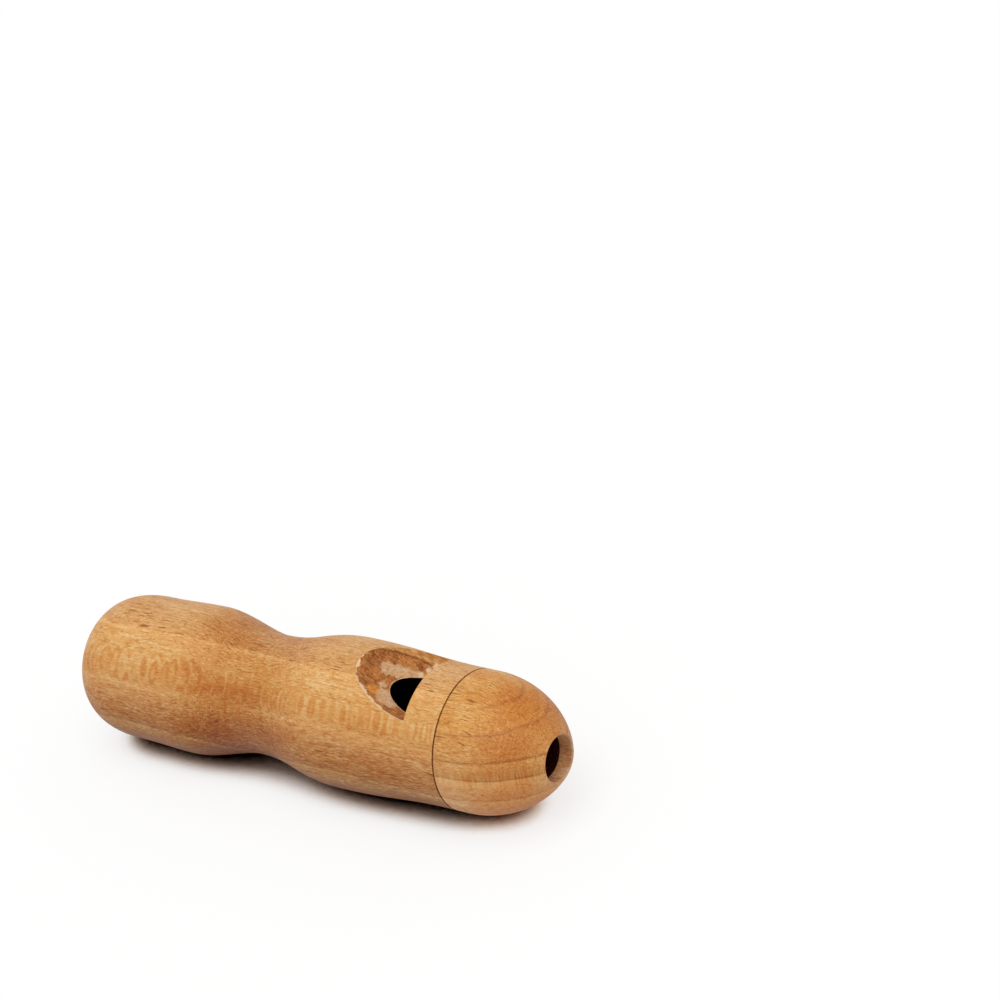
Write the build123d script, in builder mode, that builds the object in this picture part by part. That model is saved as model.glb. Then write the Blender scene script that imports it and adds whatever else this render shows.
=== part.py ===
from build123d import *
from math import radians, tan
import os

# A turned wooden bird call, a stopped whistle in three pieces.
# The body is bored from its front end and stays closed at the tail. The fipple block fills the
# front of the bore and leaves a flat windway above it. The hollow mouthpiece pushes on to the
# end of the block. Sizes are in millimetres, and stations run along the axis from the tail tip.

# Body outside
body_length = 85.1
tail_diameter = 26.9
tail_dome_length = 12.7
tail_tip_fullness = 0.64
tail_shoulder_fullness = 0.77
bulge_diameter = 27.7
tail_bulge_station = 25.8
waist_diameter = 22.2
waist_station = 40.6
front_bulge_station = 59.3
collar_diameter = 25.7
collar_length = 1.2
seam_chamfer = 0.15

# How far each smooth stretch keeps its direction, as a share of its length
tail_reach = 0.40
rear_waist_reach = 0.29
front_waist_reach = 0.46
neck_reach = 0.47

# Sound chamber
bore_diameter = 18.0
bore_station = 12.0
drill_point_angle = 118.0

# Window, cut by a barrel-shaped cutter that turns on an axis parallel to the call
window_setback = 7.1
cutter_axis_height = 20.97
cutter_diameter = 30.1
cutter_side_radius = 22.5
cutter_overrun = 2.9

# Fipple block
windway_height = 1.6
tenon_length = 7.0
tenon_chamfer = 0.4

# Mouthpiece
mouthpiece_length = 18.1
mouthpiece_straight = 2.2
mouthpiece_wall = 2.4
blow_hole_diameter = 8.4
blow_hole_edge = 0.3
push_fit_clearance = 0.05

# Values that follow from the ones above
overall_length = body_length + mouthpiece_length
axis_height = bulge_diameter / 2
window_station = body_length - window_setback
bore_radius = bore_diameter / 2
socket_radius = bore_radius + push_fit_clearance

# The drawing plane holds the axis, with stations along its x and radius along its y
lathe = Plane(origin=(-overall_length / 2, 0, axis_height), x_dir=(1, 0, 0), z_dir=(0, -1, 0))
turning_axis = Axis((0, 0, axis_height), (1, 0, 0))
cutter_height = axis_height + cutter_axis_height
cutter_plane = Plane(origin=(-overall_length / 2, 0, cutter_height), x_dir=(1, 0, 0), z_dir=(0, -1, 0))
cutter_axis = Axis((0, 0, cutter_height), (1, 0, 0))


def smooth_stretch(start, end, reach):
    """Draw one curve that leaves the start and meets the end parallel to the axis."""
    hold = reach * (end[0] - start[0])
    return Bezier(start, (start[0] + hold, start[1]), (end[0] - hold, end[1]), end)


os.makedirs("parts", exist_ok=True)

# Body
tail_end = (tail_dome_length, tail_diameter / 2)
tail_bulge = (tail_bulge_station, bulge_diameter / 2)
waist = (waist_station, waist_diameter / 2)
front_bulge = (front_bulge_station, bulge_diameter / 2)
collar = (body_length - collar_length, collar_diameter / 2)
drill_point_length = bore_radius / tan(radians(drill_point_angle / 2))

with BuildPart() as body:
    with BuildSketch(lathe):
        with BuildLine():
            Bezier(
                (0, 0),
                (0, tail_tip_fullness * tail_end[1]),
                ((1 - tail_shoulder_fullness) * tail_end[0], tail_end[1]),
                tail_end,
            )
            smooth_stretch(tail_end, tail_bulge, tail_reach)
            smooth_stretch(tail_bulge, waist, rear_waist_reach)
            smooth_stretch(waist, front_bulge, front_waist_reach)
            smooth_stretch(front_bulge, collar, neck_reach)
            Polyline(
                collar,
                (body_length - seam_chamfer, collar[1]),
                (body_length, collar[1] - seam_chamfer),
                (body_length, 0),
                (0, 0),
            )
        make_face()
    revolve(axis=turning_axis)

    # Blind bore with its drill point towards the tail
    with BuildSketch(lathe):
        with BuildLine():
            Polyline(
                (bore_station - drill_point_length, 0),
                (bore_station, bore_radius),
                (body_length, bore_radius),
                (body_length, 0),
                close=True,
            )
        make_face()
    revolve(axis=turning_axis, mode=Mode.SUBTRACT)

    # Window, with a square edge towards the mouthpiece and a hollow ramp towards the tail
    with BuildSketch(cutter_plane):
        with Locations((window_station + cutter_overrun, cutter_diameter / 2 - cutter_side_radius)):
            Circle(cutter_side_radius)
        with Locations((window_station, 0)):
            Rectangle(
                2 * cutter_side_radius,
                2 * cutter_side_radius,
                align=(Align.MAX, Align.MIN),
                mode=Mode.INTERSECT,
            )
    revolve(axis=cutter_axis, mode=Mode.SUBTRACT)
body.part.label = "body"
export_step(body.part, "parts/body.step")

# Fipple block, a dowel with a flat on top that runs from the window into the mouthpiece
block_length = window_setback + tenon_length

with BuildPart() as fipple_block:
    with BuildSketch(lathe):
        with BuildLine():
            Polyline(
                (window_station, 0),
                (window_station, bore_radius),
                (window_station + block_length - tenon_chamfer, bore_radius),
                (window_station + block_length, bore_radius - tenon_chamfer),
                (window_station + block_length, 0),
                close=True,
            )
        make_face()
    revolve(axis=turning_axis)
    with Locations(lathe.from_local_coords(Vector(window_station, bore_radius - windway_height, 0))):
        Box(
            block_length,
            bore_diameter,
            bore_diameter,
            align=(Align.MIN, Align.CENTER, Align.MIN),
            mode=Mode.SUBTRACT,
        )
fipple_block.part.label = "fipple_block"
export_step(fipple_block.part, "parts/fipple_block.step")

# Mouthpiece
blow_hole_radius = blow_hole_diameter / 2
rim_radius = blow_hole_radius + blow_hole_edge
dome_start = (body_length + mouthpiece_straight, collar[1])
dome_end = (overall_length, rim_radius)
dome_run = dome_end[0] - dome_start[0]
dome_drop = dome_start[1] - dome_end[1]
dome_radius = (dome_run**2 + dome_drop**2) / (2 * dome_drop)

with BuildPart() as mouthpiece:
    with BuildSketch(lathe):
        with BuildLine():
            TangentArc(dome_start, dome_end, tangent=(1, 0))
            Polyline(
                dome_end,
                (overall_length, 0),
                (body_length, 0),
                (body_length, collar[1] - seam_chamfer),
                (body_length + seam_chamfer, collar[1]),
                dome_start,
            )
        make_face()
    revolve(axis=turning_axis)

    # Socket and wind chamber, rounded to follow the dome
    with BuildSketch(lathe):
        with Locations((dome_start[0], dome_start[1] - dome_radius)):
            Circle(dome_radius - mouthpiece_wall)
        with Locations((body_length, 0)):
            Rectangle(
                mouthpiece_length,
                socket_radius,
                align=(Align.MIN, Align.MIN),
                mode=Mode.INTERSECT,
            )
    revolve(axis=turning_axis, mode=Mode.SUBTRACT)

    # Blow hole, with its rim rounded over
    with BuildSketch(lathe):
        with BuildLine():
            CenterArc((overall_length - blow_hole_edge, rim_radius), blow_hole_edge, 270, 90)
            Polyline(
                (overall_length, rim_radius),
                (overall_length, 0),
                (body_length, 0),
                (body_length, blow_hole_radius),
                (overall_length - blow_hole_edge, blow_hole_radius),
            )
        make_face()
    revolve(axis=turning_axis, mode=Mode.SUBTRACT)
mouthpiece.part.label = "mouthpiece"
export_step(mouthpiece.part, "parts/mouthpiece.step")
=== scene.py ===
# %% [markdown]
# # A turned beech bird call
# The real object is a stopped whistle, turned on a lathe from beech. It is a long body with a
# waist, a domed mouthpiece pushed on to its front end, and a fipple block hidden between the two.
# The CAD model already holds the sizes, so this lesson loads it as a fixed frame. It then works out
# a finer skin for each of the three pieces, and spends most of its care on the wood.

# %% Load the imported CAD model
import math

import bmesh
import bpy
import numpy as np
from mathutils import Matrix, Vector


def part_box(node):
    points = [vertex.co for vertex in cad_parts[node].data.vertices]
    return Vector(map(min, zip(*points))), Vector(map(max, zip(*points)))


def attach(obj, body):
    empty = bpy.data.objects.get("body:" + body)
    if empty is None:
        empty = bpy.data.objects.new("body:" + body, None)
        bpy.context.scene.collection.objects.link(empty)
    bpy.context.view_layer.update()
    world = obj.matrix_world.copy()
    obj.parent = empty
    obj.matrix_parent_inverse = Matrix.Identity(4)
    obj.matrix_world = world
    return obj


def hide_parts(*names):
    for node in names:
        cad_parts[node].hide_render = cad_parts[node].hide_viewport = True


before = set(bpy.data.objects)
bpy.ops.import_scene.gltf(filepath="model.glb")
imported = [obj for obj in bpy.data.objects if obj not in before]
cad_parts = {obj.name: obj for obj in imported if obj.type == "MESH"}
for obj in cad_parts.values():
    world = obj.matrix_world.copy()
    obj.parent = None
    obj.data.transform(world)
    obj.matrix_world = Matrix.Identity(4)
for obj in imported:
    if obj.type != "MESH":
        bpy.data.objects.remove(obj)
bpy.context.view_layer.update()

# %% [markdown]
# ## Sizes
# A turner measures a whistle in stations along its axis, counted from the tail. Blender works in
# metres, which makes such sizes hard to read, so the shapes here are worked out in millimetres and
# scaled once, when a mesh is made. Whatever the frame can tell is read from it, and not typed again.

# %% Read the main sizes from the frame
MM = 0.001
body_low, body_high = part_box("body")
block_low, block_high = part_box("fipple_block")
cap_low, cap_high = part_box("mouthpiece")

tail_x = body_low.x / MM
axis_height = (body_low.z + body_high.z) / 2 / MM
bulge_radius = (body_high.z - body_low.z) / 2 / MM
seam_station = body_high.x / MM - tail_x
nose_station = cap_high.x / MM - tail_x
window_station = block_low.x / MM - tail_x
tenon_station = block_high.x / MM - tail_x
bore_radius = (block_high.y - block_low.y) / 2 / MM
windway_floor = block_high.z / MM - axis_height
collar_radius = (cap_high.y - cap_low.y) / 2 / MM
print("stations: window", window_station, "seam", seam_station, "nose", nose_station)
print("radii: bulge", bulge_radius, "collar", collar_radius, "bore", bore_radius)
print("windway floor", windway_floor, "above the axis at", axis_height)

# %% [markdown]
# ## Camera
# The photograph looks down on the call from the mouthpiece end with a long lens. The call lies
# rolled a little towards the viewer there. Here it keeps its window straight up, as the CAD frame
# has it, and the camera takes up that roll, so the call fills the picture in the same way.

# %% Put the camera where the photograph was taken
camera_aim = Vector((20.548, 37.566, 37.946)) * MM
camera_distance = 740.97 * MM
camera_azimuth = math.radians(40.543)
camera_elevation = math.radians(32.227)
camera_roll = math.radians(13.9495)
camera_lens = 146.93
camera_sensor = 36.0

camera_back = Vector(
    (
        math.sin(camera_azimuth) * math.cos(camera_elevation),
        -math.cos(camera_azimuth) * math.cos(camera_elevation),
        math.sin(camera_elevation),
    )
)
level_turn = (-camera_back).to_track_quat("-Z", "Y").to_matrix().to_4x4()
camera = bpy.data.objects.new("camera", bpy.data.cameras.new("camera"))
camera.data.lens = camera_lens
camera.data.sensor_width = camera_sensor
camera.matrix_world = (
    Matrix.Translation(camera_aim + camera_back * camera_distance)
    @ level_turn
    @ Matrix.Rotation(-camera_roll, 4, "Z")
)
bpy.context.scene.collection.objects.link(camera)
bpy.context.scene.camera = camera
print("camera at", tuple(round(v, 4) for v in camera.matrix_world.translation))

# %% [markdown]
# ## From arrays to a mesh
# Every surface here is a grid of points: rows along the call, columns round it. A piece is a few
# such patches that share their edges. Their points are worked out as whole arrays, and Blender's
# merge by distance then sews the patches into one closed skin, which also closes poles and seams.

# %% Helpers that place points on the call and sew patches together
SEW_DISTANCE = 0.002 * MM
CREASE_ANGLE = math.radians(32)


def on_call(station, angle, radius):
    """A point at a station, at an angle from straight up and at a distance from the axis:
    x = tail + station, y = radius * sin(angle), z = axis height + radius * cos(angle)."""
    station, angle, radius = np.broadcast_arrays(station, angle, radius)
    across = radius * np.sin(angle)
    height = axis_height + radius * np.cos(angle)
    return np.stack([tail_x + station, across, height], axis=-1)


def grid_faces(rows, columns, first):
    """The corners of the four-sided faces between neighbouring rows and columns of a grid."""
    corner = first + (np.arange(rows - 1)[:, None] * columns + np.arange(columns - 1)).ravel()
    return np.stack([corner, corner + 1, corner + columns + 1, corner + columns], axis=1)


def sew_piece(name, patches, finishes):
    """One mesh from patches of (grid of points in mm, finish number for each face column)."""
    points, faces, numbers = [], [], []
    first = 0
    for grid, finish in patches:
        rows, columns = grid.shape[:2]
        points.append(grid.reshape(-1, 3))
        faces.append(grid_faces(rows, columns, first))
        numbers.append(np.broadcast_to(finish, (rows - 1, columns - 1)).ravel())
        first += rows * columns
    mesh = bpy.data.meshes.new(name)
    mesh.from_pydata(np.vstack(points) * MM, [], np.vstack(faces))
    mesh.polygons.foreach_set("material_index", np.concatenate(numbers).astype(np.int32))
    skin = bmesh.new()
    skin.from_mesh(mesh)
    bmesh.ops.remove_doubles(skin, verts=skin.verts, dist=SEW_DISTANCE)
    bmesh.ops.dissolve_degenerate(skin, edges=skin.edges, dist=SEW_DISTANCE / 10)
    bmesh.ops.recalc_face_normals(skin, faces=skin.faces)
    open_edges = sum(len(edge.link_faces) != 2 for edge in skin.edges)
    skin.to_mesh(mesh)
    skin.free()
    mesh.shade_smooth()
    mesh.set_sharp_from_angle(angle=CREASE_ANGLE)
    for finish in finishes:
        mesh.materials.append(finish)
    piece = bpy.data.objects.new(name, mesh)
    bpy.context.scene.collection.objects.link(piece)
    print(name, "has", len(mesh.vertices), "points and", open_edges, "edges not shared by two faces")
    return piece


# %% [markdown]
# ## The body's outline
# The body was turned against a pattern: a blunt round tail, a bulge, a waist for two fingers, a
# second bulge and a slow taper to the collar. A few cubic curves that start and end parallel to the
# axis follow it, with the same sizes as the CAD model.

# %% Draw the body's outline as radius against station
tail_radius = 13.45
tail_dome_length = 12.7
tail_tip_fullness = 0.64
tail_shoulder_fullness = 0.77
tail_bulge_station = 25.8
waist_radius = 11.1
waist_station = 40.6
front_bulge_station = 59.3
collar_length = 1.2
seam_chamfer = 0.15
tail_reach = 0.40
rear_waist_reach = 0.29
front_waist_reach = 0.46
neck_reach = 0.47


def cubic_curve(start, first_pull, second_pull, end, steps=401):
    """A Bezier curve: its points weighted by (1-t)^3, 3t(1-t)^2, 3t^2(1-t) and t^3."""
    t = np.linspace(0, 1, steps)[:, None]
    weights = np.hstack([(1 - t) ** 3, 3 * t * (1 - t) ** 2, 3 * t**2 * (1 - t), t**3])
    return weights @ np.array([start, first_pull, second_pull, end], float)


def level_curve(start, end, reach):
    """A curve that leaves its start and meets its end parallel to the axis."""
    hold = reach * (end[0] - start[0])
    return cubic_curve(start, (start[0] + hold, start[1]), (end[0] - hold, end[1]), end)


tail_end = (tail_dome_length, tail_radius)
tail_bulge = (tail_bulge_station, bulge_radius)
waist = (waist_station, waist_radius)
front_bulge = (front_bulge_station, bulge_radius)
collar = (seam_station - collar_length, collar_radius)
tail_curve = cubic_curve(
    (0, 0),
    (0, tail_tip_fullness * tail_radius),
    ((1 - tail_shoulder_fullness) * tail_dome_length, tail_radius),
    tail_end,
)
outline = np.vstack(
    [
        tail_curve,
        level_curve(tail_end, tail_bulge, tail_reach),
        level_curve(tail_bulge, waist, rear_waist_reach),
        level_curve(waist, front_bulge, front_waist_reach),
        level_curve(front_bulge, collar, neck_reach),
        [(seam_station - seam_chamfer, collar_radius), (seam_station, collar_radius - seam_chamfer)],
    ]
)


def body_radius(station):
    """The outline's radius at a station, read off between its points."""
    return np.interp(station, outline[:, 0], outline[:, 1])


print("outline of", len(outline), "points, waist radius", body_radius(waist_station))

# %% [markdown]
# ## The window
# The window is the sharp-edged mouth that the breath crosses. On the real call a barrel-shaped
# cutter sinks into the top: it leaves a hollow ramp that thins out to a lip, and a square edge
# towards the mouthpiece. A Boolean would cut it too, but with ragged triangles. Here the cutter's
# circle is solved in closed form at every station, so that the rows of the skin end on its edges.

# %% Solve the cutter against the body and the bore
cutter_height = 20.97
cutter_radius = 15.05
cutter_side_radius = 22.5
cutter_overrun = 2.9
MISSED = 1000.0
TOUCH = 1e-7


def cutter_reach(station):
    """The barrel cutter's radius at a station: a circle of side radius, set back by its overrun."""
    run = window_station + cutter_overrun - station
    depth = np.sqrt(np.maximum(cutter_side_radius**2 - run**2, 0))
    return np.maximum(cutter_radius - cutter_side_radius + depth, 0)


def ramp_radius(station, angle):
    """How far from the axis a ray at that angle meets the cutter, or MISSED if it doesn't:
    height * cos(angle) less the root of reach^2 - (height * sin(angle))^2."""
    inside = cutter_reach(station) ** 2 - (cutter_height * np.sin(angle)) ** 2
    distance = cutter_height * np.cos(angle) - np.sqrt(np.maximum(inside, 0))
    return np.where((inside > 0) & (np.cos(angle) > 0), distance, MISSED)


def cut_half_angle(station, radius):
    """Half the angle that the cutter takes from a circle of that radius, by the cosine rule."""
    squares = cutter_height**2 + radius**2 - cutter_reach(station) ** 2
    cosine = squares / (2 * cutter_height * np.maximum(radius, SEW_DISTANCE))
    return np.where(cosine > 1 - TOUCH, 0, np.arccos(np.clip(cosine, -1, 1)))


trial = np.linspace(front_bulge_station, window_station, 4001)
depth_cut = body_radius(trial) - cutter_height + cutter_reach(trial)
window_tip = np.interp(0, depth_cut, trial)
lip_station = np.interp(cutter_height - bore_radius, cutter_reach(trial), trial)
print("the window starts at", window_tip, "and its lip is at", lip_station)

# %% [markdown]
# ## Rows and columns of the body
# A lathe shape needs few rows where it is plain and many where an edge turns. The rows crowd
# together just after the window's tip and after the lip, because the edges start there with a
# round nose. Each row has the same columns: up one side of the cut, round the back, and down the
# other side. Before the window the cut's columns lie on one line and vanish when they are sewn.

# %% Lay out the body's rows and columns
AROUND = 180
UP_THE_CUT = 28
TAIL_STRIDE = 10
BARREL_ROWS = 96
RAMP_ROWS = 46
SLOT_ROWS = 52
EDGE_CROWDING = 0.9
CUT_CROWDING = 1.7
RAMP_CROWDING = 1.9
SLOT_CROWDING = 1.7
FULL_TURN = 2 * np.pi


def crowded(start, end, count, power):
    """Stations from start to end that crowd near the start, by a power of an even share."""
    return start + (end - start) * np.linspace(0, 1, count) ** power


back_share = np.linspace(0, 1, AROUND + 1)
back_share = back_share - EDGE_CROWDING * np.sin(FULL_TURN * back_share) / FULL_TURN
cut_share = 1 - (1 - np.linspace(0, 1, UP_THE_CUT + 1)) ** CUT_CROWDING

tail_rows = tail_curve[::TAIL_STRIDE, 0]
barrel_rows = np.linspace(tail_dome_length, window_tip, BARREL_ROWS)
ramp_rows = crowded(window_tip, lip_station, RAMP_ROWS, RAMP_CROWDING)
slot_rows = crowded(lip_station, window_station, SLOT_ROWS, SLOT_CROWDING)
skin_rows = np.concatenate([tail_rows, barrel_rows[1:], ramp_rows[1:], slot_rows[1:]])


def skin_angles(station):
    """Angles of every column at each station, from the lip's edge round to the lip's other edge."""
    lip = cut_half_angle(station, bore_radius)[:, None]
    edge = cut_half_angle(station, body_radius(station))[:, None]
    one_side = lip + (edge - lip) * cut_share
    back = edge + (FULL_TURN - 2 * edge) * back_share
    other_side = FULL_TURN - one_side[:, ::-1]
    return np.hstack([one_side[:, :-1], back, other_side[:, 1:]])


print(len(skin_rows), "rows and", UP_THE_CUT * 2 + AROUND, "columns")

# %% [markdown]
# ## Torn edges
# Beech tears a little where a cutter leaves it across the grain. The rim of the window is therefore
# eased by a width that changes along the edge, and the ramp keeps faint tool marks. Both come from a
# smooth random field, made from a small lattice of random numbers with rounded steps between them.

# %% Ease the window's rim and roughen its ramp
RIM_EASE = (0.06, 0.34)
RAMP_ROUGHNESS = 0.035
LIP_GUARD = 0.8
LATTICE = 64
# Each pattern has its swells per millimetre along the call, its swells per radian round it, the
# lattice column that it starts from and its seed
RIM_TEARS = (1.9, 6, 32, 11)
BROAD_MARKS = (2.6, 26, 128, 5)
FINE_MARKS = (5.1, 55, 256, 6)
FINE_SHARE = 0.5


def smooth_field(u, v, seed):
    """Random values from 0 to 1 on whole numbers of u and v, blended by t*t*(3-2t) between them."""
    lattice = np.random.default_rng(seed).random((LATTICE, LATTICE))
    u0, v0 = np.floor(u).astype(int), np.floor(v).astype(int)
    u1, v1 = (u0 + 1) % LATTICE, (v0 + 1) % LATTICE
    fu, fv = u - u0, v - v0
    fu, fv = fu * fu * (3 - 2 * fu), fv * fv * (3 - 2 * fv)
    u0, v0 = u0 % LATTICE, v0 % LATTICE
    near = lattice[u0, v0] * (1 - fu) + lattice[u1, v0] * fu
    far = lattice[u0, v1] * (1 - fu) + lattice[u1, v1] * fu
    return near * (1 - fv) + far * fv


def swells(station, turn, pattern):
    """A smooth field laid over the skin, with u = station * along and v = turn * around + first."""
    along, around, first, seed = pattern
    return smooth_field(station[:, None] * along, turn * around + first, seed)


def eased(outer, cut, width):
    """The smaller of two radii, with the corner where they meet rounded over a width."""
    share = np.clip(0.5 + 0.5 * (cut - outer) / width, 0, 1)
    return cut + (outer - cut) * share - width * share * (1 - share)


def body_skin(station, angle):
    """The radius of the outside and the ramp together, torn rim and tool marks included."""
    outer = body_radius(station)[:, None]
    turn = np.remainder(angle + np.pi, FULL_TURN) - np.pi
    tear = swells(station, turn, RIM_TEARS)
    rim_width = RIM_EASE[0] + (RIM_EASE[1] - RIM_EASE[0]) * tear**2
    cut = ramp_radius(station[:, None], angle)
    marks = swells(station, turn, BROAD_MARKS) - 0.5
    marks = marks + FINE_SHARE * (swells(station, turn, FINE_MARKS) - 0.5)
    away_from_lip = np.clip((cut - bore_radius) / LIP_GUARD, 0, 1)
    return eased(outer, cut + marks * RAMP_ROUGHNESS * 2 * away_from_lip, rim_width)


cut_angles = skin_angles(skin_rows)
cut_radii = body_skin(skin_rows, cut_angles)
print("radii from", cut_radii.min(), "to", cut_radii.max())

# %% [markdown]
# ## Writing a finish as a formula
# A node tree is a formula drawn as boxes and wires. Oiled beech needs more than two hundred boxes,
# which is too much to read when each is placed by hand. The small class below stands for whatever
# comes out of a box, and adding or multiplying two of them makes the Math node that does so. A
# finish then reads like the sentence that describes it.

# %% Helpers that add one node


class Field:
    """A number or a colour that the nodes work out at each point of a surface."""

    def __init__(self, tree, socket):
        self.tree = tree
        self.socket = socket

    def __add__(self, other):
        return node(self.tree, "Math", {0: self, 1: other}, operation="ADD")

    def __sub__(self, other):
        return node(self.tree, "Math", {0: self, 1: other}, operation="SUBTRACT")

    def __mul__(self, other):
        return node(self.tree, "Math", {0: self, 1: other}, operation="MULTIPLY")

    def __truediv__(self, other):
        return node(self.tree, "Math", {0: self, 1: other}, operation="DIVIDE")

    def __neg__(self):
        return self * -1.0

    def size(self):
        """The value without its sign."""
        return node(self.tree, "Math", {0: self}, operation="ABSOLUTE")


def node(tree, kind, inputs, output=0, **settings):
    """Adds one shader node, gives it plain values or other fields, and returns one of its outputs."""
    made = tree.nodes.new("ShaderNode" + kind)
    for name, value in settings.items():
        setattr(made, name, value)
    for name, value in inputs.items():
        if isinstance(value, Field):
            tree.links.new(value.socket, made.inputs[name])
        else:
            made.inputs[name].default_value = value
    return Field(tree, made.outputs[output])


print("nodes can be added, subtracted, multiplied and divided")

# %% [markdown]
# ## Patterns
# A pattern starts from noise, which is smooth random values in space. A direction that is divided by
# a length before it reaches the noise gets swells of that length. A soft step then picks out the
# high places. These few helpers are all that the wood needs.

# %% Helpers for numbers and patterns


def power(field, exponent):
    """A field raised to a power."""
    return node(field.tree, "Math", {0: field, 1: exponent}, operation="POWER")


def sine(field):
    """The sine of a field in radians."""
    return node(field.tree, "Math", {0: field}, operation="SINE")


def larger(first, second):
    """The larger of two fields at each point."""
    return node(first.tree, "Math", {0: first, 1: second}, operation="MAXIMUM")


def place(first, second, third):
    """Three fields as one point for a texture."""
    return node(first.tree, "CombineXYZ", {0: first, 1: second, 2: third})


def noise(point, detail):
    """Smooth random values about a half, one swell per unit of the point."""
    return node(point.tree, "TexNoise", {"Vector": point, "Scale": 1.0, "Detail": detail})


def step(field, start, end):
    """A soft step from 0 at the start to 1 at the end; with the end first it falls instead."""
    ends = {"Value": field, "From Min": start, "From Max": end}
    return node(field.tree, "MapRange", ends, interpolation_type="SMOOTHSTEP")


print("patterns are made from noise, steps, sines and powers")

# %% [markdown]
# ## Colours
# Colours are written here as screen values from 0 to 255. Light adds up in linear values, so each
# colour is converted once, when it is written. A stain multiplies a colour, as a thin layer on wood
# does, and a row of tones turns any number into a colour.

# %% Helpers for colours and finishes


def blend(share, first, second, way="MIX"):
    """The first colour taken towards the second by a share, or multiplied by it."""
    return node(share.tree, "Mix", {0: share, 6: first, 7: second}, 2, data_type="RGBA", blend_type=way)


def stain(share, colour, tint):
    """A colour multiplied by a tint, as far as the share says."""
    return blend(share, colour, (*tint, 1.0), "MULTIPLY")


def tones(field, stops):
    """A colour for each value: stops are (value, screen colour), blended in between."""
    first, last = stops[0][0], stops[-1][0]
    ramp = node(field.tree, "ValToRGB", {0: (field - first) / (last - first)})
    steps = ramp.socket.node.color_ramp.elements
    while len(steps) < len(stops):
        steps.new(1.0)
    for mark, (value, colour) in zip(steps, stops):
        mark.position = (value - first) / (last - first)
        mark.color = colour
    return ramp


def new_finish(name):
    """An empty finish: its material, its node tree and its shader."""
    finish = bpy.data.materials.new(name)
    finish.use_nodes = True
    return finish, finish.node_tree, finish.node_tree.nodes["Principled BSDF"]


def give(shader, socket, field):
    """Wires a field to one of the shader's inputs."""
    field.tree.links.new(field.socket, shader.inputs[socket])


def screen(red, green, blue):
    """A screen colour of 0 to 255 as linear light: a line near black, a power of 2.4 above it."""
    shade = np.array([red, green, blue]) / 255
    light = np.where(shade <= 0.04045, shade / 12.92, ((shade + 0.055) / 1.055) ** 2.4)
    return (*light.tolist(), 1.0)


print("helpers ready, mid grey is", screen(128, 128, 128)[0])

# %% [markdown]
# ## How beech is built
# A plank is not a picture wrapped round a shape: the lathe cuts into a solid that has three
# directions of its own. Fibres run along the call. Growth rings follow one another in depth. Broad
# rays are thin sheets that stand across the rings. Where the surface cuts the sheets edgewise they
# show as short dark dashes, and where it lies flat against them they show as rippled flecks. So the
# finish first turns Object coordinates into these three directions, in millimetres, and every
# pattern is a pattern in the solid. The lathe then brings out ovals on the bulges by itself.

# %% Directions in the wood


def grain_axes(tree, fleck_angle):
    """Object coordinates in millimetres from the axis, turned so that the first runs with the
    fibres, the second points to the flecked face and the third runs through the rings."""
    coordinates = Field(tree, tree.nodes.new("ShaderNodeTexCoord").outputs["Object"])
    turned = node(
        tree,
        "Mapping",
        {
            "Vector": coordinates,
            "Location": (0, 0, axis_height * MM),
            "Rotation": (math.pi / 2 - math.radians(fleck_angle), 0, 0),
            "Scale": (MM, MM, MM),
        },
        vector_type="TEXTURE",
    )
    return [node(tree, "SeparateXYZ", {0: turned}, output) for output in range(3)]


def facing_nose(tree):
    """How far the surface faces the mouthpiece end: 1 straight at it, -1 straight away."""
    normal = Field(tree, tree.nodes.new("ShaderNodeTexCoord").outputs["Normal"])
    return node(tree, "SeparateXYZ", {0: normal})


print("fibres run along x; the axis is at", axis_height, "mm")

# %% [markdown]
# ## Fibres and grooves
# Fine fibres run along the call, and between them lie a few open grooves. A picture of fibres would
# stretch over the bulges. Noise that is drawn out along the fibres and squeezed across them keeps
# its true length wherever the surface cuts it. A groove is the thin line where such a noise passes
# through its middle value.

# %% Fibres and grooves in the solid wood


def swung(along, across, deep):
    """The two cross directions, shifted to and fro by slow noise, because fibres never run straight."""
    swing = noise(place(along / 1.5, across / 1.2, deep / 1.2), 1.0) - 0.5
    return across + swing * 0.5, deep - swing * 0.5


def fibres(along, across, deep):
    """Short strokes, longer streaks and soft figure, each about nought, added up."""
    stroke = noise(place(along / 1.0, across / 0.18, deep / 0.18), 2.0) - 0.5
    streak = noise(place(along / 6.0, across / 0.28, deep / 0.28), 2.0) - 0.5
    figure = noise(place(along / 2.6, across / 0.9, deep / 0.9), 2.0) - 0.5
    return stroke * 1.45 + streak * 0.75 + figure * 0.25


def grooves(along, across, deep):
    """Thin lines where a drawn-out noise passes through its middle value, broken into pieces."""
    wide = noise(place(along / 5.0, across / 0.9, deep / 0.9), 1.0) - 0.5
    close = noise(place(along / 3.5, across / 0.5, deep / 0.5), 1.0) - 0.5
    lines = step(wide.size(), 0.040, 0.0) + step(close.size(), 0.062, 0.0)
    return lines * step(noise(place(along / 2.2, across / 0.5, deep / 0.5), 1.0), 0.42, 0.58)


print("fibres are made of strokes, streaks and figure")

# %% [markdown]
# ## Rays
# Broad rays are what beech is known by. Flat on they show as flecks, in a row from the tail to the
# seam, and edgewise as short dark dashes. The flecks here are a stack of rippled sheets that the
# surface cuts through, so their arcs follow the shape. The dashes are cells of a Voronoi texture,
# drawn out along the fibres.

# %% Flecks and dashes
RIPPLES = 2.6
SHEETS = 12.0


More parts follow.
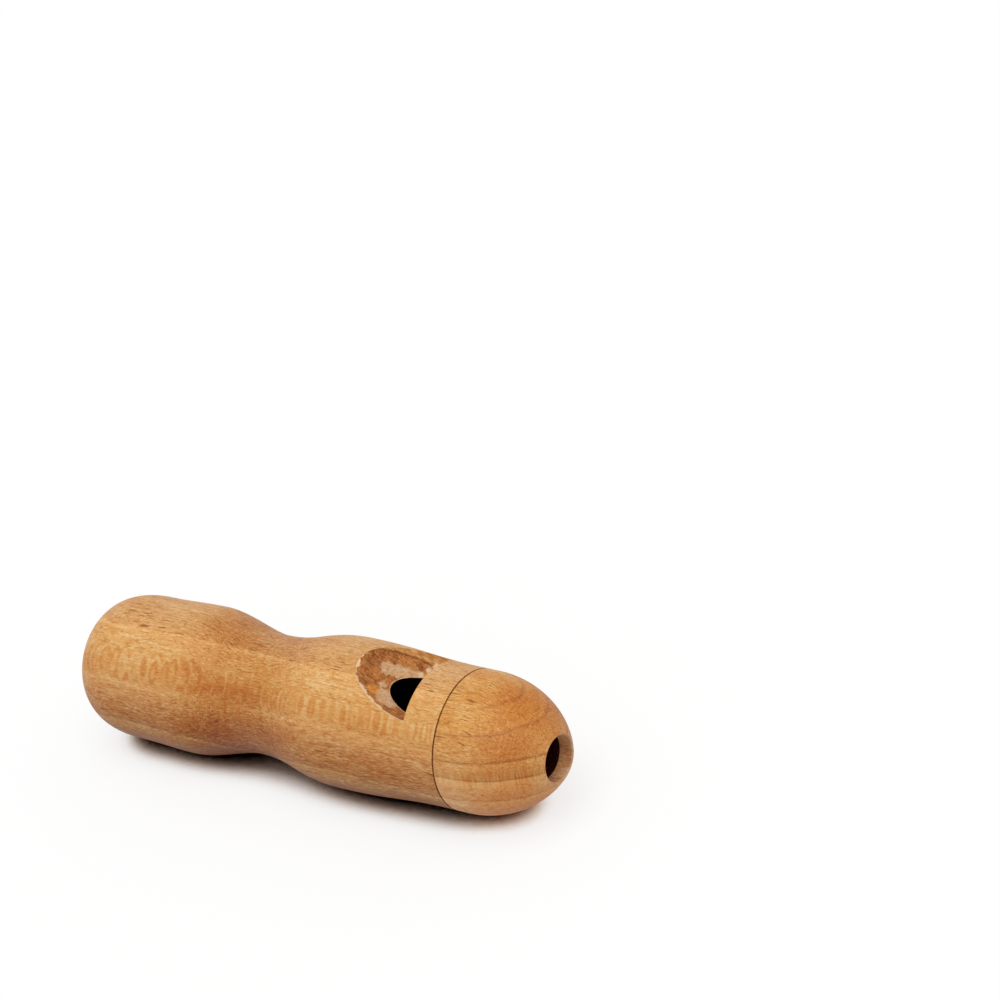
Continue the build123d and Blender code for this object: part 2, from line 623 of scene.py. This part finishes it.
def ray_flecks(along, across, deep, narrow):
    """Sheets stacked across the flecked face, a sine of the depth. A second sine with a drifting phase
    ripples them, so that each comes to the surface again and again as a row of arcs. The share
    narrow goes from 0 on the tail, where they are bold and dark, to 1 on the front."""
    station = along - tail_x
    drift = noise(place(along / 4.0, across / 25.0, deep / 9.0), 1.0) - 0.5
    ripple = sine(station * RIPPLES + drift * 5.0)
    level = across + drift * (narrow * -0.4 + 0.6) + ripple * (narrow * 0.08 + 0.10)
    uneven = noise(place(along / 14.0, level / 0.8, deep / 9.0), 1.0)
    bold = noise(place(along / 5.0, level / 0.5, deep / 6.0), 1.0)
    sheet = step(sine(level * SHEETS + uneven * (narrow * -2.0 + 5.0) + math.pi), -1.0, 1.0)
    return (sheet - (narrow * 0.15 + 0.30)) * step(bold, 0.20, 0.65)


def ray_dashes(along, across, deep):
    """Cells drawn out along the fibres, some of them filled, and filled only in patches."""
    cell = place(along / 5.0, across / 0.30, deep / 4.0)
    gap = node(cell.tree, "TexVoronoi", {"Vector": cell, "Scale": 1.0})
    picked = Field(cell.tree, gap.socket.node.outputs["Color"])
    picked = node(cell.tree, "SeparateXYZ", {0: picked})
    patch = noise(place(along / 9.0, across / 3.0, deep / 9.0), 1.0)
    return step(gap, 0.30, 0.17) * step(picked, 0.30, 0.60) * step(patch, 0.28, 0.50)


print("flecks of", SHEETS, "and ripples of", RIPPLES, "radians to the millimetre")

# %% [markdown]
# ## Oil
# Oil makes wood darker and richer at once. A power does the same to a colour: its weak blue falls
# fastest, then green, and red hardly at all. So everything that lets more oil in is added up as one
# number, together with painted shade on slopes that face either end, and a single Gamma node turns
# that sum into colour.

# %% Open ends, oil and painted shade
RUBBED_OFF = (0.95, 0.60)


def tool_marks(along, across, deep):
    """Fine rings left by the lathe, about nought."""
    return noise(place(along / 0.2, across / 6.0, deep / 6.0), 1.0) - 0.5


def end_grain_and_shade(tilt, to_nose, to_tail):
    """The lathe opens the fibres' ends wherever the surface slopes, and the darkening there is partly
    painted shade: each slope is given as how much darker it gets, from which tilt and up to which
    tilt. Lips rub the oil off near the hole."""
    nose_oil_and_shade = step(tilt, to_nose[1], to_nose[2]) * step(tilt, *RUBBED_OFF) * to_nose[0]
    return nose_oil_and_shade + step(-tilt, to_tail[1], to_tail[2]) * to_tail[0]


def deepen(colour, oil):
    """A colour raised to the power of one plus the oil that it took in."""
    return node(colour.tree, "Gamma", {"Color": colour, "Gamma": oil + 1.0})


print("lips rub the oil off between tilts of", RUBBED_OFF)

# %% [markdown]
# ## Oiled beech
# The finish puts these patterns together. Fingers hold the call at its waist, so it has taken up more
# oil there and its grain is bolder. The grain is also bolder on the lower flank and calmer on the
# flecked face. Painted shade darkens the underside. Grooves and dashes are open lines in the surface,
# so they are stained on top, and the seam gets a dark line of painted shade for the gap between the
# two pieces.

# %% The finish for oiled beech
# The stations where the flecked face narrows, and the depths where the lower flank begins
FRONT = (35.0, 60.0)
LOWER_FLANK = (3.0, 9.0)
HELD_STATION = 40.0
HELD_REACH = 17.0
HELD_OIL = 0.36
HELD_GRAIN = 0.46
FLANK_GRAIN = 0.22
SEAM_LINE = (0.22, 0.11)
HELD_TINT = (0.91, 0.96, 1.0)
# A tint of painted shade for the underside
UNDERSIDE_PAINTED_SHADE_TINT = (0.62, 0.44, 0.24)
GROOVE_TINT = (0.76, 0.60, 0.40)
DASH_TINT = (0.42, 0.24, 0.09)
# A tint of painted shade for the gap at the seam
SEAM_GAP_SHADE_TINT = (0.26, 0.13, 0.04)


def oiled_beech(name, fleck_angle, ring_light_and_shade_stops, to_nose, to_tail, underside_painted_shade):
    """Tones by depth for the growth rings, which also paint shade and light, deepened by fibres,
    flecks and end grain, where slopes that face either end also get painted shade. Grooves and
    dashes go over them, and a dark line of painted shade lies at the seam. The oil is satin, duller
    in the dashes and at the seam, and the fibres stand up a little. The last share says how far
    painted shade darkens the wood below."""
    finish, tree, shader = new_finish(name)
    along, across, deep = grain_axes(tree, fleck_angle)
    flat_on = across * across / (across * across + deep * deep)
    narrow = step(along - tail_x, *FRONT)
    face = step(flat_on, narrow * 0.060 + 0.91, narrow * 0.020 + 0.975)
    bend = noise(place(along / 22.0, across / 9.0, deep / 9.0), 1.0) - 0.5
    jag = noise(place(along / 1.6, across / 0.5, deep / 0.5), 1.0) - 0.5
    colour = tones(deep + bend * 1.5 + jag * 0.2, ring_light_and_shade_stops)

    tilt = facing_nose(tree)
    dash = ray_dashes(along, across + bend, deep) * step(flat_on, 0.92, 0.68) * step(tilt, 0.55, 0.20)
    fleck = ray_flecks(along, across, deep, narrow) * face
    across, deep = swung(along, across, deep)
    held = step((along - (tail_x + HELD_STATION)).size(), HELD_REACH, 1.0)
    flank = step(deep, *LOWER_FLANK)
    calm = face * (narrow * 0.17 + 0.23)
    grain = fibres(along, across, deep) * (held * HELD_GRAIN + flank * FLANK_GRAIN - calm + 1.0)
    groove = grooves(along, across, deep) * (face * -0.6 + 1.0)
    cloud = noise(place(along / 12.0, across / 4.0, deep / 4.0), 2.0) - 0.5

    # Oil where it is held and on end grain, and painted shade on slopes that face either end
    open_ends_and_shade = held * HELD_OIL + end_grain_and_shade(tilt, to_nose, to_tail)
    open_ends_and_shade = open_ends_and_shade * (tool_marks(along, across, deep) * 1.6 + 1.0)
    oil = grain - 0.03 + cloud * 0.6 + fleck * (narrow * -0.05 + 0.41) + open_ends_and_shade
    # Painted shade: the wood is made darker towards the bottom
    painted_under_shade = step(flat_on, 0.30, 0.0) * step(deep, 4.0, 7.0)
    seam = step((along - (tail_x + seam_station)).size(), *SEAM_LINE)
    colour = deepen(colour, oil)
    colour = stain(held, colour, HELD_TINT)
    colour = stain(painted_under_shade * underside_painted_shade, colour, UNDERSIDE_PAINTED_SHADE_TINT)
    colour = stain(groove * 0.75, colour, GROOVE_TINT)
    colour = stain(dash * 0.9, colour, DASH_TINT)
    # Painted shade: a dark line where the mouthpiece meets the body
    colour = stain(seam * 0.95, colour, SEAM_GAP_SHADE_TINT)

    give(shader, "Base Color", colour)
    give(shader, "Roughness", grain * 0.10 + dash * 0.15 + seam * 0.4 + 0.50)
    shader.inputs["Specular IOR Level"].default_value = 0.35
    height = grain * -0.5 - groove * 0.3 - dash * 0.6
    give(shader, "Normal", node(tree, "Bump", {"Height": height, "Strength": 0.6, "Distance": 0.06 * MM}))
    print(name, "has", len(tree.nodes), "nodes")
    return finish


# %% [markdown]
# ## Oiled beech on the body
# The body's flecked face looks up at the viewer, between the top and the near side. One ring
# darkens slowly over the lower flank and ends in a sharp edge, beyond which the next ring starts
# pale. The stops below are that ring story, and they also paint shade on the lower flank: each
# value is a depth in millimetres along the line through the rings.

# %% Oiled beech for the body
BODY_FLECK_ANGLE = -49.5
# Ring tones with painted shade: the deeper stops darken the lower flank
body_rings_and_shade = [
    (-14.5, screen(207, 149, 80)),
    (-10.5, screen(211, 155, 91)),
    (-8.1, screen(210, 152, 86)),
    (-7.4, screen(212, 154, 87)),
    (-7.0, screen(229, 175, 106)),
    (-6.3, screen(221, 165, 96)),
    (-3.4, screen(219, 163, 92)),
    (0.0, screen(212, 149, 78)),
    (2.6, screen(211, 151, 84)),
    (3.2, screen(219, 161, 95)),
    (4.0, screen(214, 154, 89)),
    (7.0, screen(195, 128, 65)),
    (9.8, screen(189, 121, 53)),
    (10.5, screen(176, 111, 45)),
    (10.75, screen(207, 149, 80)),
    (11.4, screen(191, 129, 61)),
    (14.5, screen(172, 110, 46)),
]
oiled_beech_body = oiled_beech(
    "oiled_beech_body",
    BODY_FLECK_ANGLE,
    body_rings_and_shade,
    to_nose=(0.10, 0.05, 0.35),
    to_tail=(0.02, 0.10, 0.60),
    # The body's underside gets the full painted shade
    underside_painted_shade=1.0,
)

# %% [markdown]
# ## Oiled beech on the mouthpiece
# The mouthpiece was turned from another stick. Its rings are closer and run round the dome in
# plain lines, and its flecked face looks level at the viewer, where the dome slopes away and draws
# the flecks out into fine upright strokes. Its stops are paler on the lower half, which is painted
# light that lifts the shade there.

# %% Oiled beech for the mouthpiece
CAP_FLECK_ANGLE = -83.0
# Ring tones with painted light: the stops from a depth of 0.3 mm on are paler, to lift the shade below
cap_rings_and_light = [
    (-14.5, screen(212, 148, 72)),
    (-11.2, screen(212, 148, 71)),
    (-11.0, screen(195, 129, 58)),
    (-10.6, screen(213, 149, 70)),
    (-9.0, screen(211, 147, 66)),
    (-8.3, screen(217, 155, 79)),
    (-7.9, screen(214, 153, 81)),
    (-7.6, screen(197, 133, 65)),
    (-7.2, screen(212, 150, 80)),
    (-3.6, screen(213, 151, 83)),
    (-3.3, screen(184, 122, 62)),
    (-2.9, screen(221, 164, 98)),
    (-0.2, screen(207, 148, 84)),
    (0.0, screen(188, 128, 70)),
    (0.3, screen(233, 176, 111)),
    (4.3, screen(229, 168, 106)),
    (4.6, screen(212, 149, 88)),
    (4.9, screen(241, 181, 117)),
    (6.0, screen(236, 176, 112)),
    (7.2, screen(229, 162, 99)),
    (8.6, screen(228, 161, 98)),
    (8.9, screen(208, 142, 82)),
    (9.3, screen(232, 167, 103)),
    (14.5, screen(232, 162, 97)),
]
oiled_beech_cap = oiled_beech(
    "oiled_beech_cap",
    CAP_FLECK_ANGLE,
    cap_rings_and_light,
    to_nose=(0.39, 0.08, 0.62),
    to_tail=(0.16, 0.03, 0.25),
    underside_painted_shade=0.0,
)

# %% [markdown]
# ## Places on the ramp
# The window's ramp is rough end grain. It has drunk the oil and gone brown, except in dry pale
# places near the lip, where the wall is thin, and along the rim, where torn fibres stand up. A mask
# painted by hand would be an image. Here a place is a few soft balls in the solid, which the ramp
# cuts through.

# %% Where the ramp is dry, orange or torn
RAMP_BROWN = screen(154, 90, 41)
RAMP_TAN = screen(196, 126, 64)
RAMP_ORANGE = screen(216, 138, 56)
DRY_WOOD = screen(212, 170, 126)
TORN_WOOD = screen(250, 216, 172)
upper_dry_places = [
    (67.6, 2.0, 10.5, 1.4),
    (68.8, 2.6, 9.7, 1.4),
    (70.3, 3.4, 9.1, 1.1),
    (71.8, 4.2, 8.5, 0.9),
]
lower_dry_places = [
    (68.6, -1.6, 9.7, 0.8),
    (69.9, -3.2, 9.4, 1.3),
    (71.0, -4.6, 9.4, 1.7),
    (72.4, -4.9, 8.7, 1.2),
]
orange_places = [(68.6, -4.0, 10.4, 1.3)]
torn_places = [
    (64.1, -1.7, 13.6, 0.9),
    (67.8, -5.9, 11.9, 1.1),
    (70.0, -7.0, 10.9, 0.8),
    (72.2, -7.7, 10.1, 0.7),
]
fuzzy_places = [
    (72.6, 4.8, 8.3, 0.5),
    (73.4, 5.9, 8.5, 0.6),
    (74.2, 7.0, 8.9, 0.5),
]


def nearness(point, places):
    """How far inside the nearest of some balls a point is, in millimetres: each ball is given by its
    station, its place across, its height above the axis and its radius."""
    best = None
    for station, across, height, radius in places:
        centre = (tail_x + station, across, height)
        gap = node(point.tree, "VectorMath", {0: point, 1: centre}, "Value", operation="DISTANCE")
        inside = gap * -1.0 + radius
        best = larger(best, inside) if best else inside
    return best


print(len(upper_dry_places + lower_dry_places), "dry places and", len(torn_places), "torn ones")

# %% [markdown]
# ## The window's finish
# The tones are laid one over the other: brown first, then orange, dry and torn wood, each with its
# edge broken up by noise. The depth of the cut comes from an attribute of the mesh, and is nought at
# the rim. On the far side the rim is worn and ragged, so a band in two browns runs along it, and
# its dark edge is painted shade of a steeper wall.

# %% Finish for the window
FAR_EDGE_STATION = 64.4
FAR_EDGE_RISE = 0.21
FAR_PALE = screen(202, 142, 76)
FAR_BROWN = screen(180, 118, 60)
# A tint of painted shade for the far band's edge
FAR_EDGE_SHADE_TINT = (0.55, 0.44, 0.36)
GRIT_TINT = (0.62, 0.50, 0.40)

window_cut, tree, shader = new_finish("window_cut")
along, side, up = grain_axes(tree, 90.0)
here = place(along, side, up)
cut_depth = node(tree, "Attribute", {}, 2, attribute_name="cut_depth")
blotch = noise(place(along / 1.5, side / 1.5, up / 1.5), 3.0) - 0.5
grit = noise(place(along / 0.45, side / 0.35, up / 0.35), 2.0) - 0.5
scrape = noise(place(along / 2.2, side / 0.35, up / 0.6), 2.0) - 0.5
ragged = noise(place(along / 0.7, side / 0.6, up / 0.6), 2.0) - 0.5

colour = blend(step(blotch, -0.16, 0.20), RAMP_BROWN, RAMP_TAN)
orange = step(nearness(here, orange_places) + ragged, -0.2, 0.2)
colour = blend(orange * 0.9, colour, RAMP_ORANGE)
dry = nearness(here, upper_dry_places + lower_dry_places) + ragged * 1.6 + grit * 1.2
dry = step(dry, -0.26, 0.30)
colour = blend(dry * 0.92, colour, DRY_WOOD)
colour = deepen(colour, grit * 1.0 + scrape * 0.8)
colour = stain(step(grit + ragged * 0.4, 0.06, 0.24) * 0.7, colour, GRIT_TINT)

far_side = step(side, 1.0, 2.5)
far_edge = cut_depth - (along - (tail_x + FAR_EDGE_STATION)) * FAR_EDGE_RISE + ragged * 0.4
far_tone = deepen(blend(step(blotch, -0.2, 0.2), FAR_PALE, FAR_BROWN), scrape * 1.6)
colour = blend(far_side * step(far_edge, 0.10, -0.10), colour, far_tone)
# Painted shade: the dark edge stands in for a steeper, shaded wall
colour = stain(far_side * step(far_edge.size(), 0.30, 0.05) * 0.8, colour, FAR_EDGE_SHADE_TINT)

torn_width = step(nearness(here, torn_places), -0.4, 0.4) * 0.55
torn_width = torn_width + step(along - tail_x, 64.5, 70.0) * 0.42 + 0.06
torn = step(cut_depth + ragged * 0.9 + grit * 0.9 - torn_width, 0.20, -0.20) * step(side, 2.0, 0.5)
colour = blend(torn * 0.92, colour, TORN_WOOD)
fuzz = step(nearness(here, fuzzy_places) + ragged * 1.8 + grit, -0.3, 0.5)
lip = step(power(side * side + up * up, 0.5) + ragged * 0.3, bore_radius + 0.14, bore_radius + 0.02)
strand = step(scrape, 0.20, 0.30)
colour = blend(fuzz * 0.8 + lip * 0.4 + strand * 0.6, colour, TORN_WOOD)
give(shader, "Base Color", colour)
shader.inputs["Roughness"].default_value = 0.8
shader.inputs["Specular IOR Level"].default_value = 0.25
height = grit + scrape + torn * 0.6
give(shader, "Normal", node(tree, "Bump", {"Height": height, "Strength": 0.7, "Distance": 0.10 * MM}))
print("window_cut has", len(tree.nodes), "nodes")

# %% [markdown]
# ## Bare wood, the blow hole and the bore
# The block and the faces inside the seam are bare wood and stay pale. The wall of the blow hole is
# handled, so its grain is stronger. The bore and the chamber behind the blow hole are only seen as
# openings, and their dark colours are painted shade of the deep holes. One helper makes all four.

# %% Finishes that are mostly out of sight


def plain_beech(name, pale, dark, strength=1.0):
    """Two tones of bare wood in soft clouds, with fine fibres along the call."""
    finish, tree, shader = new_finish(name)
    along, across, deep = grain_axes(tree, BODY_FLECK_ANGLE)
    grain = fibres(along, across, deep) * strength
    cloud = noise(place(along / 6.0, across / 3.0, deep / 3.0), 1.0)
    give(shader, "Base Color", deepen(blend(step(cloud, 0.35, 0.65), pale, dark), grain))
    shader.inputs["Roughness"].default_value = 0.75
    shader.inputs["Specular IOR Level"].default_value = 0.25
    give(shader, "Normal", node(tree, "Bump", {"Height": grain, "Strength": 0.5, "Distance": 0.05 * MM}))
    return finish


bare_beech = plain_beech("bare_beech", screen(216, 174, 132), screen(200, 156, 114))
hole_beech = plain_beech("hole_beech", screen(236, 176, 124), screen(196, 136, 90), strength=1.4)
# Painted shade: the chamber and the bore are made dark for the shade deep inside them
chamber_painted_shade = plain_beech("chamber_painted_shade", screen(104, 46, 18), screen(78, 32, 12))
bore_painted_shade = plain_beech("bore_painted_shade", screen(30, 15, 8), screen(18, 9, 5))
print("bare_beech, hole_beech, chamber_painted_shade and bore_painted_shade made")

# %% [markdown]
# ## The outside of the body
# Three patches make the outside: the skin with its ramp, the collar past the window and the square
# face of the window. They could be three pieces laid against each other, but light would show
# through the joints. Instead they use the same columns, so that they meet point by point. The square
# edge is broken by a tenth of a millimetre, because a perfectly sharp edge catches no light.

# %% Patches outside the body
OILED, CUT, BORE, BARE = 0, 1, 2, 3
OVER_THE_SLOT = 24
COLLAR_ROWS = 20
FACE_ROWS = 6
ARRIS = 0.10
COLLAR_START = 0.4

ramp_columns = np.full(UP_THE_CUT, CUT)
skin_finish = np.concatenate([ramp_columns, np.full(AROUND, OILED), ramp_columns])
skin_patch = on_call(skin_rows[:, None], cut_angles, cut_radii)

collar_rows = np.concatenate(
    [
        [window_station, window_station + ARRIS],
        np.linspace(window_station + COLLAR_START, seam_station - collar_length, COLLAR_ROWS),
        [seam_station - seam_chamfer, seam_station],
    ]
)
lip_angle = cut_angles[-1, 0]
slot_angles = FULL_TURN + lip_angle * np.linspace(-1, 1, OVER_THE_SLOT + 1)
round_angles = np.concatenate([cut_angles[-1], slot_angles[1:]])
collar_radii = np.repeat(body_radius(collar_rows)[:, None], len(round_angles), axis=1)
square_edge = collar_radii[0, 0] - ARRIS
collar_radii[0] = square_edge
collar_radii[0, : len(cut_radii[-1])] = np.maximum(cut_radii[-1], square_edge)
collar_patch = on_call(collar_rows[:, None], round_angles, collar_radii)

side_columns = UP_THE_CUT + 1
face_angles = np.concatenate(
    [cut_angles[-1, -side_columns:], slot_angles[1:-1], FULL_TURN + cut_angles[-1, :side_columns]]
)
slot_bottom = np.full(OVER_THE_SLOT - 1, bore_radius)
face_bottom = np.concatenate([cut_radii[-1, -side_columns:], slot_bottom, cut_radii[-1, :side_columns]])
face_top = np.maximum(face_bottom, square_edge)
face_rise = np.linspace(0, 1, FACE_ROWS)[:, None]
face_radii = face_bottom + (face_top - face_bottom) * face_rise
face_patch = on_call(window_station, face_angles, face_radii)

print("outside patches of", skin_patch.shape, collar_patch.shape, face_patch.shape)

# %% [markdown]
# ## The inside of the body
# Four patches close the inside: the bore, the strip of bore above the block, the drill's cone at the
# bottom and the flat ring at the seam. The bore shows only through the window, but a closed skin has
# a true inside and outside, and that keeps light and measurements right.

# %% Patches inside the body
PLAIN_BORE_ROWS = 8
CONE_ROWS = 6
bore_station = 12.0
drill_point_angle = math.radians(118.0)
drill_point_length = bore_radius / math.tan(drill_point_angle / 2)

bore_rows = np.concatenate(
    [
        np.linspace(bore_station, window_tip, PLAIN_BORE_ROWS)[:-1],
        ramp_rows,
        slot_rows[1:],
        [seam_station],
    ]
)
bore_lip = cut_half_angle(bore_rows, bore_radius)[:, None]
bore_lip[-1] = lip_angle
bore_share = np.linspace(0, 1, cut_angles.shape[1])
bore_angles = bore_lip + (FULL_TURN - 2 * bore_lip) * bore_share
bore_patch = on_call(bore_rows[:, None], bore_angles, bore_radius)
roof_patch = on_call(bore_rows[-2:, None], slot_angles, bore_radius)

cone_share = np.linspace(0, 1, CONE_ROWS)[:, None]
cone_rows = bore_station - drill_point_length * (1 - cone_share)
cone_patch = on_call(cone_rows, FULL_TURN * bore_share, bore_radius * cone_share)

ring_angles = np.vstack([round_angles, np.concatenate([bore_angles[-1], slot_angles[1:]])])
ring_radii = np.vstack([collar_radii[-1], np.full(len(round_angles), bore_radius)])
ring_patch = on_call(seam_station, ring_angles, ring_radii)

print("inside patches of", bore_patch.shape, roof_patch.shape, cone_patch.shape, ring_patch.shape)

# %% [markdown]
# ## Sewing the body
# The seven patches are sewn into one skin. The finish of the window needs to know how deep the cut
# is at each point, which no texture coordinate says. So the depth is worked out once from the
# finished points and stored with the mesh as an attribute.

# %% Sew the body and store the depth of the cut
body = sew_piece(
    "call_body",
    [
        (skin_patch, skin_finish),
        (collar_patch, OILED),
        (face_patch, CUT),
        (bore_patch, BORE),
        (roof_patch, BORE),
        (cone_patch, BORE),
        (ring_patch, BARE),
    ],
    [oiled_beech_body, window_cut, bore_painted_shade, bare_beech],
)
places = np.empty(len(body.data.vertices) * 3)
body.data.vertices.foreach_get("co", places)
places = places.reshape(-1, 3) / MM
from_axis = np.hypot(places[:, 1], places[:, 2] - axis_height)
depth_at_points = body_radius(places[:, 0] - tail_x) - from_axis
body.data.attributes.new("cut_depth", "FLOAT", "POINT").data.foreach_set("value", depth_at_points)
print("deepest cut in mm", depth_at_points.max())
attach(body, "call")
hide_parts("body")

# %% [markdown]
# ## The fipple block
# The block is a dowel with one flat side. The gap above the flat is the windway that guides the
# breath to the lip. Its section is a circle with the top sliced off, so one formula gives the
# radius at any angle, and the same columns run from end to end.

# %% Build the fipple block
BLOCK_COLUMNS = 144
BLOCK_ROWS = 16
LEAST_RISE = 1e-6
tenon_chamfer = 0.4
block_play = 0.02


def block_section(angle, radius):
    """A circle's radius, or the flat's height over the cosine of the angle where that is less."""
    rise = np.maximum(np.cos(angle), LEAST_RISE)
    return np.minimum(radius, windway_floor / rise)


block_angles = np.linspace(0, FULL_TURN, BLOCK_COLUMNS + 1)
block_rows = np.concatenate(
    [
        [window_station],
        np.linspace(window_station, tenon_station - tenon_chamfer, BLOCK_ROWS),
        [tenon_station, tenon_station],
    ]
)
block_reach = np.full(len(block_rows), bore_radius - block_play)
block_reach[-2] = bore_radius - tenon_chamfer
block_radii = np.array([block_section(block_angles, reach) for reach in block_reach])
block_radii[[0, -1]] = 0
block = sew_piece(
    "fipple_block_dowel", [(on_call(block_rows[:, None], block_angles, block_radii), 0)], [bare_beech]
)
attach(block, "call")
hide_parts("fipple_block")

# %% [markdown]
# ## The mouthpiece's profile
# The mouthpiece is a hollow dome with a blow hole in its nose. Its profile runs up the seam face,
# along the outside, over the rounded rim, through the hole, back along the inner dome and out of the
# socket. Both domes are arcs about one centre, so that the wall is equally thick all over.

# %% Draw the mouthpiece's profile
OUTER_ROWS = 64
RIM_ROWS = 9
INNER_ROWS = 28
straight_length = 2.2
cap_wall = 2.4
blow_hole_radius = 4.2
rim_round = 0.3
push_fit_clearance = 0.05
socket_radius = bore_radius + push_fit_clearance

dome_station = seam_station + straight_length
dome_run = nose_station - dome_station
dome_drop = collar_radius - blow_hole_radius - rim_round
dome_radius = (dome_run**2 + dome_drop**2) / (2 * dome_drop)
dome_centre = collar_radius - dome_radius


def dome(station, radius):
    """The height of a circle centred below the dome's start, at a station."""
    return dome_centre + np.sqrt(radius**2 - (station - dome_station) ** 2)


def dome_reach(height, radius):
    """The station where that circle comes down to a height."""
    return dome_station + math.sqrt(radius**2 - (height - dome_centre) ** 2)


outside = np.linspace(dome_station, nose_station, OUTER_ROWS)
rim_turn = np.radians(np.linspace(90, 0, RIM_ROWS))[1:]
hole_back = dome_reach(blow_hole_radius, dome_radius - cap_wall)
socket_end = dome_reach(socket_radius, dome_radius - cap_wall)
inside = np.linspace(hole_back, socket_end, INNER_ROWS)
cap_profile = np.vstack(
    [
        [(seam_station, socket_radius)],
        [(seam_station, collar_radius - seam_chamfer)],
        [(seam_station + seam_chamfer, collar_radius)],
        [(seam_station + straight_length / 2, collar_radius)],
        np.column_stack([outside, dome(outside, dome_radius)]),
        np.column_stack(
            [
                nose_station - rim_round * (1 - np.sin(rim_turn)),
                blow_hole_radius + rim_round * (1 - np.cos(rim_turn)),
            ]
        ),
        np.column_stack([inside, dome(inside, dome_radius - cap_wall)]),
        [(seam_station, socket_radius)],
    ]
)
print("mouthpiece profile of", len(cap_profile), "points, hole wall starts at", hole_back)

# %% [markdown]
# ## Turning the mouthpiece
# The profile is carried once round the axis, as a Screw modifier would do. Here the grid is made
# directly, because each step of the profile then has its own finish: oiled outside, bare at the seam
# and on the rim, browner in the hole and dark in the chamber.

# %% Carry the profile round the axis
CAP_COLUMNS = 216
CAP_OILED, CHAMBER, CAP_BARE, HOLE = 0, 1, 2, 3

cap_angles = np.linspace(0, FULL_TURN, CAP_COLUMNS + 1)
cap_patch = on_call(cap_profile[:, :1], cap_angles, cap_profile[:, 1:])
inner_start = len(cap_profile) - len(inside) - 1
hole_wall = inner_start - 1
cap_finish = np.full(len(cap_profile) - 1, CAP_OILED)
cap_finish[[0, -1]] = CAP_BARE
cap_finish[hole_wall - len(rim_turn) : hole_wall] = CAP_BARE
cap_finish[hole_wall] = HOLE
cap_finish[inner_start:-1] = CHAMBER
cap = sew_piece(
    "mouthpiece_dome",
    [(cap_patch, cap_finish[:, None])],
    [oiled_beech_cap, chamber_painted_shade, bare_beech, hole_beech],
)
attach(cap, "cap")
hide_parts("mouthpiece")

# %% [markdown]
# ## Light
# The photograph has broad soft light from above, a little from the viewer's side and the nose. A
# ring of lamps could be placed for that, but one wide sun and an even white world give the same at a
# plain level. The world is brighter for rays that are seen, so that the background is pure white.

# %% Set the light
SKY_STRENGTH = 0.65
SUN_STRENGTH = 1.2
SUN_ANGLE = math.radians(50)
SUN_DIRECTION = Vector((-0.15, 0.30, -1.0))


def seen_rays(tree):
    """1 for rays that the camera sees directly, in gloss or through glass, and 0 for the rest."""
    rays = tree.nodes.new("ShaderNodeLightPath")
    seen = Field(tree, rays.outputs["Is Camera Ray"])
    for kind in ("Is Glossy Ray", "Is Transmission Ray"):
        seen = larger(seen, Field(tree, rays.outputs[kind]))
    return seen


world = bpy.data.worlds.new("white_room")
bpy.context.scene.world = world
world.use_nodes = True
sky = world.node_tree.nodes["Background"]
sky.inputs["Color"].default_value = (1, 1, 1, 1)
give(sky, "Strength", seen_rays(world.node_tree) * (1.0 - SKY_STRENGTH) + SKY_STRENGTH)

softbox = bpy.data.objects.new("softbox", bpy.data.lights.new("softbox", "SUN"))
softbox.data.energy = SUN_STRENGTH
softbox.data.angle = SUN_ANGLE
softbox.rotation_euler = SUN_DIRECTION.to_track_quat("-Z", "Y").to_euler()
bpy.context.scene.collection.objects.link(softbox)
bpy.context.scene.view_settings.view_transform = "Standard"
print("a sun of strength", SUN_STRENGTH, "and a white world of", SKY_STRENGTH)

# %% [markdown]
# ## Floor
# The call lies on a white ground with a soft dark contact under it. The floor's material is two in
# one. Rays that are seen meet a floor that mostly glows white by itself, and an Ambient Occlusion node
# darkens it where the call shuts off the sky, less at the nose and more at the tail. All other rays
# meet a plain grey floor, which gives some light back under the call.

# %% Lay the floor
FLOOR_WHITE = 0.5
LIT_SHARE = 0.25
CONTACT_REACH = 100.0
CONTACT_SAMPLES = 24
CONTACT_LIMITS = (0.21, 0.41)
CONTACT_WARMTH = [(0.9, 0.0), (1.2, 0.4), (1.4, 0.8)]
NOSE_SIDE = (28.0, 42.0)
NOSE_OPENING = 0.036
TAIL_SIDE = (-32.0, -46.0)
TAIL_CLOSING = 0.058
floor_size = 4.0

floor_corner = np.array([(-1, -1, 0), (1, -1, 0), (1, 1, 0), (-1, 1, 0)]) * floor_size / 2
floor_mesh = bpy.data.meshes.new("floor")
floor_mesh.from_pydata(floor_corner, [], [(0, 1, 2, 3)])
floor = bpy.data.objects.new("floor", floor_mesh)
white_floor, tree, shader = new_finish("white_floor")
reach = {"Distance": CONTACT_REACH * MM}
openness = node(tree, "AmbientOcclusion", reach, "AO", samples=CONTACT_SAMPLES)
spot = Field(tree, tree.nodes.new("ShaderNodeTexCoord").outputs["Object"])
along_floor = node(tree, "SeparateXYZ", {0: spot}) / MM
nose_side = step(along_floor, *NOSE_SIDE)
tail_side = step(along_floor, *TAIL_SIDE)
openness = openness + nose_side * NOSE_OPENING - tail_side * TAIL_CLOSING
contact = step(openness, *CONTACT_LIMITS)
shade = [power(contact, nose_side * glow + warmth) for warmth, glow in CONTACT_WARMTH]
give(shader, "Base Color", place(*[channel * LIT_SHARE for channel in shade]))
give(shader, "Emission Color", place(*shade))
shader.inputs["Emission Strength"].default_value = 1.0 - LIT_SHARE
bounce = node(tree, "BsdfDiffuse", {"Color": (FLOOR_WHITE, FLOOR_WHITE, FLOOR_WHITE, 1.0)})
seen = Field(tree, shader.outputs["BSDF"])
both = node(tree, "MixShader", {0: seen_rays(tree), 1: bounce, 2: seen})
give(tree.nodes["Material Output"], "Surface", both)
shader.inputs["Roughness"].default_value = 1.0
shader.inputs["Specular IOR Level"].default_value = 0.0
floor_mesh.materials.append(white_floor)
bpy.context.scene.collection.objects.link(floor)
print("white_floor has", len(tree.nodes), "nodes")
